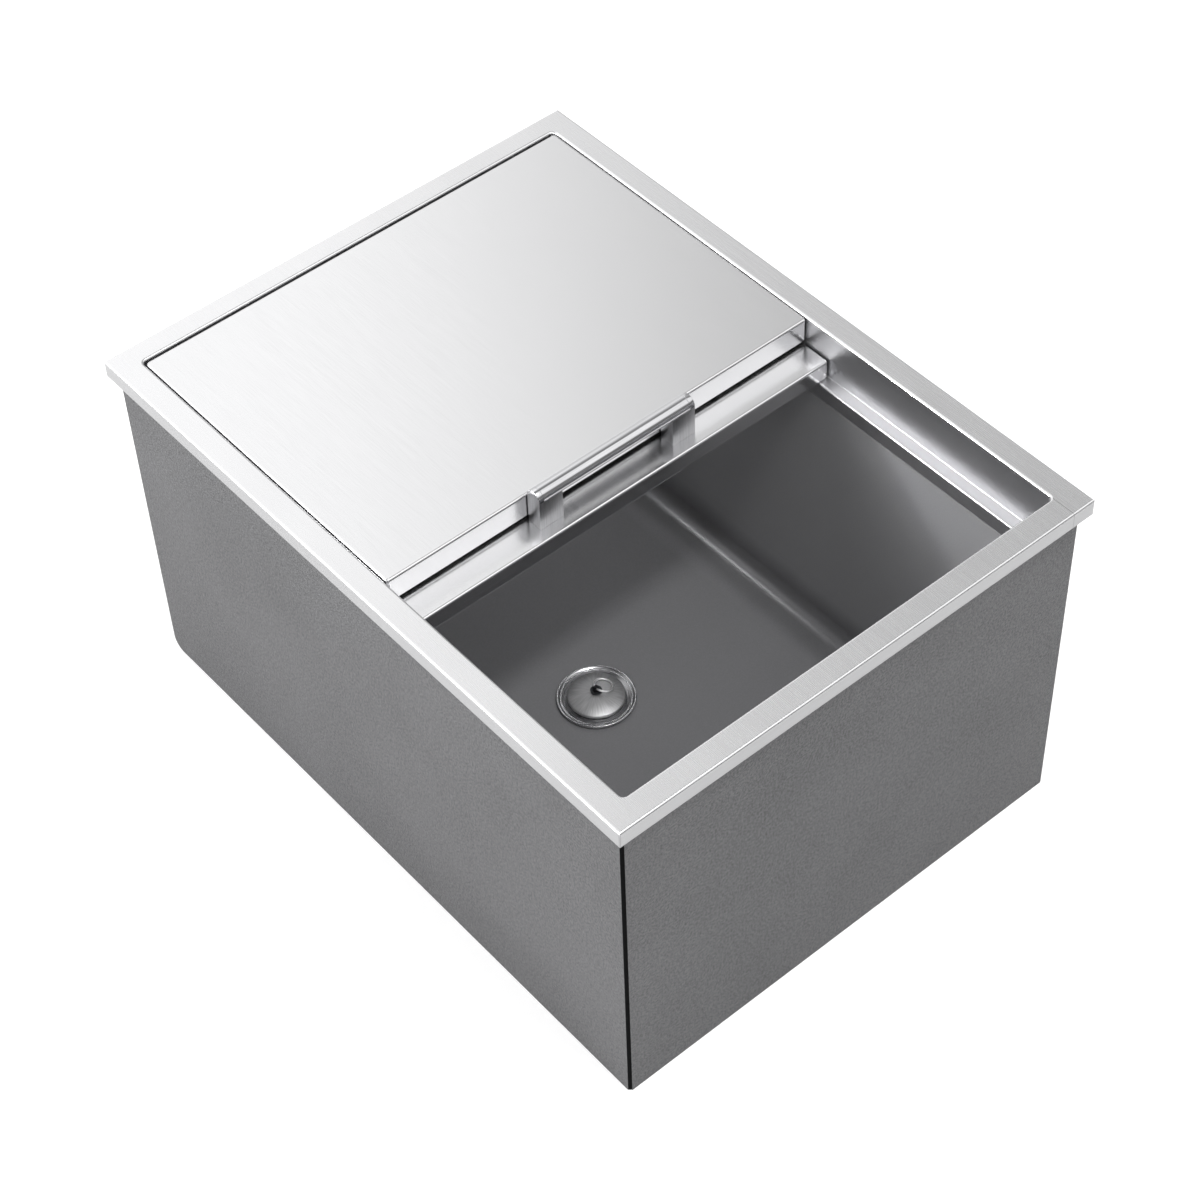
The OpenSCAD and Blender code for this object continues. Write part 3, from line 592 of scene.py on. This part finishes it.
def below_bar(edge):
    """True for an upright edge or one along the foot, not for one at the top."""
    return min(v.co.z for v in edge.verts) < (bar_foot - 1) * MM


POST_ROUND, STUD_ROUND = 0.35, 0.3
for side in ("left", "right"):
    bm = copy_of("handle_post_" + side)
    soften(bm, POST_ROUND, where=below_bar)
    place_piece(bm, "post_" + side, post_steel, "front_slider", "brushed_post",
                "handle_post_" + side)

bm = copy_of("stopper_stud")
soften(bm, STUD_ROUND, sharp=50)
place_piece(bm, "stopper_eye_stud", stud_steel, "stopper", "dark_stud", "stopper_stud")

# %% [markdown]
# ## The rear cover's front skirt
# The photograph shows only a thin dark gap between this skirt and the sliding cover under it. So
# the rear cover is a copy whose front skirt hangs a little lower. Two cuts across the copy, just
# behind the skirt, let the low hem run out into the side skirts, which rest on their bars as
# before.

# %% Rear cover
SKIRT_DROP, HEM_BEND, CUTS = 1.2, 9, (9.5, 10.5)
cover_low = box_of("rear_cover")[0]
bm = copy_of("rear_cover")
for behind in CUTS:
    bmesh.ops.bisect_plane(bm, geom=bm.verts[:] + bm.edges[:] + bm.faces[:], plane_no=(0, 1, 0),
                           plane_co=Vector((0, cover_low.y + behind, 0)) * MM)
hem = [v for v in bm.verts if v.co.y < (cover_low.y + sum(CUTS) / 2) * MM
       and v.co.z < (cover_low.z + HEM_BEND) * MM]
bmesh.ops.translate(bm, verts=hem, vec=(0, 0, -SKIRT_DROP * MM))
place_piece(bm, "rear_cover_tray", cover_steel, "rear_lid", "cover_sheet", "rear_cover", crease=3)

# %% [markdown]
# ## The drain
# The drain is spun steel: a flat seat, a shallow bead where the seat ends, and a rim that slopes
# up and rolls over its edge. A profile of radius and height, spun about the drain's axis, gives
# it all.

# %% Drain
RIM_RISE, FLANGE_THICKNESS, THREAD_END = 1.2, 1.2, 8.2
drain_low, drain_high = box_of("drain_body")
seat = drain_high.z - RIM_RISE
flange_foot = seat - FLANGE_THICKNESS
bm = spun([(18.0, drain_low.z + 0.4), (18.0, seat - 0.5), (18.15, seat - 0.15), (18.5, seat),
           (29.0, seat), (29.2, seat + 0.16), (29.5, seat + 0.24), (29.8, seat + 0.16),
           (30.05, seat + 0.06), (30.4, seat + 0.14), (31.0, seat + 0.45), (31.6, seat + 0.8),
           (32.2, seat + 1.08), (32.7, seat + RIM_RISE), (33.2, seat + 1.14), (33.42, seat + 0.95),
           (33.5, seat + 0.6), (33.5, flange_foot + 0.2), (33.3, flange_foot),
           (20.9, flange_foot), (20.9, THREAD_END + 0.4), (20.5, THREAD_END),
           (19.6, THREAD_END), (19.6, drain_low.z + 0.5), (19.2, drain_low.z),
           (18.4, drain_low.z)])
place_piece(bm, "drain_flange", drain_steel, "bin", "drain_steel", "drain_body", crease=50)

# %% [markdown]
# ## The stopper's cap
# The cap is a pressed dome that stays nearly flat in its middle and falls away faster near its
# edge, which is where it catches the light. A power of the radius draws such a curve. The cap's
# skirt hides the rubber seal.

# %% Stopper cap
CAP_TOP, CAP_RISE, CAP_CURVE = 26.95, 4.5, 2.6
HOLE_RADIUS, SKIRT_INSIDE, DOME_STEPS, DOME_STEP = 2.6, 22.97, 31, 0.7
cap_low, cap_high = box_of("stopper_cap")
seal_top = box_of("stopper_seal")[1].z
cap_radius = cap_high.x
dome = [(r, CAP_TOP - CAP_RISE * (r / cap_radius) ** CAP_CURVE)
        for r in [HOLE_RADIUS + DOME_STEP * i for i in range(DOME_STEPS)]]
bm = spun(dome + [(24.0, 22.52), (24.22, 22.3), (cap_radius, 22.0), (cap_radius, cap_low.z + 0.3),
                  (24.1, cap_low.z), (SKIRT_INSIDE, cap_low.z), (SKIRT_INSIDE, seal_top),
                  (HOLE_RADIUS, seal_top)])
place_piece(bm, "stopper_dome", cap_steel, "stopper", "drain_steel", "stopper_cap", crease=50)

# %% [markdown]
# ## The pull ring
# The ring is bent from round wire. A circle spun about the ring's own axis gives the wire, and
# the whole is leaned to the right until its far side rests on the dome. It hangs in the stud's
# eye, at the hinge's own place.

# %% Pull ring
WIRE_RADIUS, RING_RADIUS = 0.9, 8.0
eye = Vector(next(j for j in frame["joints"] if j["name"] == "ring_swing")["pos_m"])
lean = math.acos((box_of("pull_ring")[1].x - WIRE_RADIUS) / (2 * RING_RADIUS))
print("eye at", [round(v / MM, 2) for v in eye], "mm, lean", round(math.degrees(lean), 2))
bm = bmesh.new()
bmesh.ops.create_circle(bm, segments=16, radius=WIRE_RADIUS * MM)
bmesh.ops.rotate(bm, verts=bm.verts, cent=(0, 0, 0), matrix=Matrix.Rotation(math.pi / 2, 3, "X"))
bmesh.ops.translate(bm, verts=bm.verts, vec=(RING_RADIUS * MM, 0, 0))
bmesh.ops.spin(bm, geom=bm.verts[:] + bm.edges[:], cent=(0, 0, 0), axis=(0, 0, 1),
               angle=math.tau, steps=64, use_merge=True)
bmesh.ops.translate(bm, verts=bm.verts, vec=(RING_RADIUS * MM, 0, 0))
bmesh.ops.rotate(bm, verts=bm.verts, cent=(0, 0, 0), matrix=Matrix.Rotation(lean, 3, "Y"))
bmesh.ops.translate(bm, verts=bm.verts, vec=eye)
place_piece(bm, "pull_ring_wire", wire_steel, "ring", "ring_wire", "pull_ring")
print("CAD ring", [[round(v, 2) for v in corner] for corner in box_of("pull_ring")])

# %% [markdown]
# ## The floor
# The floor is plain white paper that keeps the bin's shadow. Paper alone would look grey in this
# light, so it glows a little, but only for what looks at it: the camera, and the mirror and glass
# rays. It throws no extra light on the bin.

# %% Floor
bm = bmesh.new()
bmesh.ops.create_grid(bm, x_segments=1, y_segments=1, size=8)
floor_mesh = bpy.data.meshes.new("studio_floor")
bm.to_mesh(floor_mesh)
bm.free()
floor = bpy.data.objects.new("studio_floor", floor_mesh)
bpy.context.collection.objects.link(floor)

PAPER_GLOW = 0.3
paper, tree, shader = new_material("white_seamless_paper", Roughness=0.9,
                                   Emission_Color=(1, 1, 1, 1))
fibre = grain(tree, add(tree, "TexCoord").outputs["Object"], (8, 8, 8))
fibre = add(tree, "MapRange", {"Value": fibre, **NOISE}).outputs[0]
white = add(tree, "Mix", {0: fibre, 6: linear("#f0f0f0"), 7: linear("#f4f4f4")},
            data_type="RGBA").outputs[2]
ray = add(tree, "LightPath").outputs
seen = add(tree, "Math", {0: ray["Is Camera Ray"], 1: ray["Is Glossy Ray"]},
           operation="MAXIMUM").outputs[0]
seen = add(tree, "Math", {0: seen, 1: ray["Is Transmission Ray"]},
           operation="MAXIMUM").outputs[0]
glow = add(tree, "Math", {0: seen, 1: PAPER_GLOW}, operation="MULTIPLY").outputs[0]
tree.links.new(white, shader.inputs["Base Color"])
tree.links.new(glow, shader.inputs["Emission Strength"])
floor.data.materials.append(paper)
print("floor", [round(v, 1) for v in floor.dimensions], "m")

# %% [markdown]
# ## The room
# Flat steel shows whatever stands across from it, so the room is drawn as the steel would see it.
# It is bright behind and on the left, and a light grey on the right. Overhead come bands, counted
# in degrees from the back over to the front: dim from 67, bright from 92, dim again from 148.
# Mirror rays near the horizon meet a room a quarter darker, so that the covers keep their tone
# from low angles. The camera itself sees plain white.

# %% Room
BRIGHT_SIDE, SIDE_FROM, SIDE_TO = Vector((-0.797, 0.604, 0)).normalized(), -0.14, 0.10
BRIGHT = 1.2
BANDS = ((67, 3, 0.3), (92, 4, BRIGHT), (148, 8, 0.3))
HORIZON_FROM, HORIZON_TO, HORIZON_DIM = 0.25, 0.55, 0.74


def grey(strength):
    """A neutral light of this strength; 1 is white."""
    return strength, strength, strength, 1


world = bpy.data.worlds.new("studio_room")
world.use_nodes = True
bpy.context.scene.world = world
tree = world.node_tree
direction = add(tree, "TexCoord").outputs["Generated"]
_, forth, height = add(tree, "SeparateXYZ", {0: direction}).outputs

left = add(tree, "VectorMath", {0: direction, 1: BRIGHT_SIDE}, operation="DOT_PRODUCT")
left = add(tree, "MapRange", {"Value": left.outputs["Value"], "From Min": SIDE_FROM,
                              "From Max": SIDE_TO}, interpolation_type="SMOOTHSTEP").outputs[0]
room = add(tree, "Mix", {0: left, 6: linear("#c0c0c0"), 7: grey(BRIGHT)},
           data_type="RGBA").outputs[2]
over = add(tree, "Math", {0: height, 1: forth}, operation="ARCTAN2").outputs[0]
for angle, blur, strength in BANDS:
    share = add(tree, "MapRange", {"Value": over, "From Min": math.radians(angle - blur),
                                   "From Max": math.radians(angle + blur)},
                interpolation_type="SMOOTHSTEP").outputs[0]
    room = add(tree, "Mix", {0: share, 6: room, 7: grey(strength)}, data_type="RGBA").outputs[2]
print("room bands", BANDS)

# %% What the mirror rays and the camera see
ray = add(tree, "LightPath").outputs
low = add(tree, "MapRange", {"Value": height, "From Min": HORIZON_FROM, "From Max": HORIZON_TO,
                             "To Min": 1.0, "To Max": 0.0},
          interpolation_type="SMOOTHSTEP").outputs[0]
low = add(tree, "Math", {0: low, 1: ray["Is Glossy Ray"]}, operation="MULTIPLY").outputs[0]
room = add(tree, "Mix", {0: low, 6: room, 7: grey(HORIZON_DIM)}, data_type="RGBA",
           blend_type="MULTIPLY").outputs[2]
room = add(tree, "Mix", {0: ray["Is Camera Ray"], 6: room, 7: grey(1)},
           data_type="RGBA").outputs[2]
tree.links.new(room, tree.nodes["Background"].inputs["Color"])
print("room", len(tree.nodes), "nodes")

# %% [markdown]
# ## The lamps
# Two soft boxes add the sheen and the shadows: one ahead and high, one broad on the left. The
# other three are small and weak. They stand for light that a real room bounces into the tub: a
# narrow beam on its right wall, and two glows on its floor, under the covers and at the back.

# %% Lamps
def soft_lamp(name, place, target, width, length, power, beam=180):
    """A soft box that looks at a point; beam is how wide its light opens, in degrees."""
    data = bpy.data.lights.new(name, "AREA")
    data.shape, data.size, data.size_y, data.energy = "RECTANGLE", width, length, power
    data.spread = math.radians(beam)
    lamp = bpy.data.objects.new(name, data)
    lamp.location = place
    lamp.rotation_mode = "QUATERNION"
    lamp.rotation_quaternion = (Vector(target) - Vector(place)).to_track_quat("-Z", "Y")
    lamp.visible_camera = False
    bpy.context.collection.objects.link(lamp)


soft_lamp("overhead_soft_box", (0.0, -0.95, 2.45), (0, -0.1, 0.1), 0.2, 0.2, 22)
soft_lamp("left_soft_box", (-2.4, 1.15, 1.5), (0, -0.15, 0.3), 1.7, 1.7, 42)
soft_lamp("wall_beam", (-0.548, 0.275, 0.606), (0.19, -0.15, 0.24), 0.08, 0.08, 0.12, beam=34)
soft_lamp("glow_under_the_covers", (0.172, 0.19, 0.285), (0.172, 0.19, 0), 0.02, 0.16, 0.10)
soft_lamp("glow_at_the_back", (-0.05, 0.2, 0.283), (-0.05, 0.2, 0), 0.24, 0.1, 0.07)
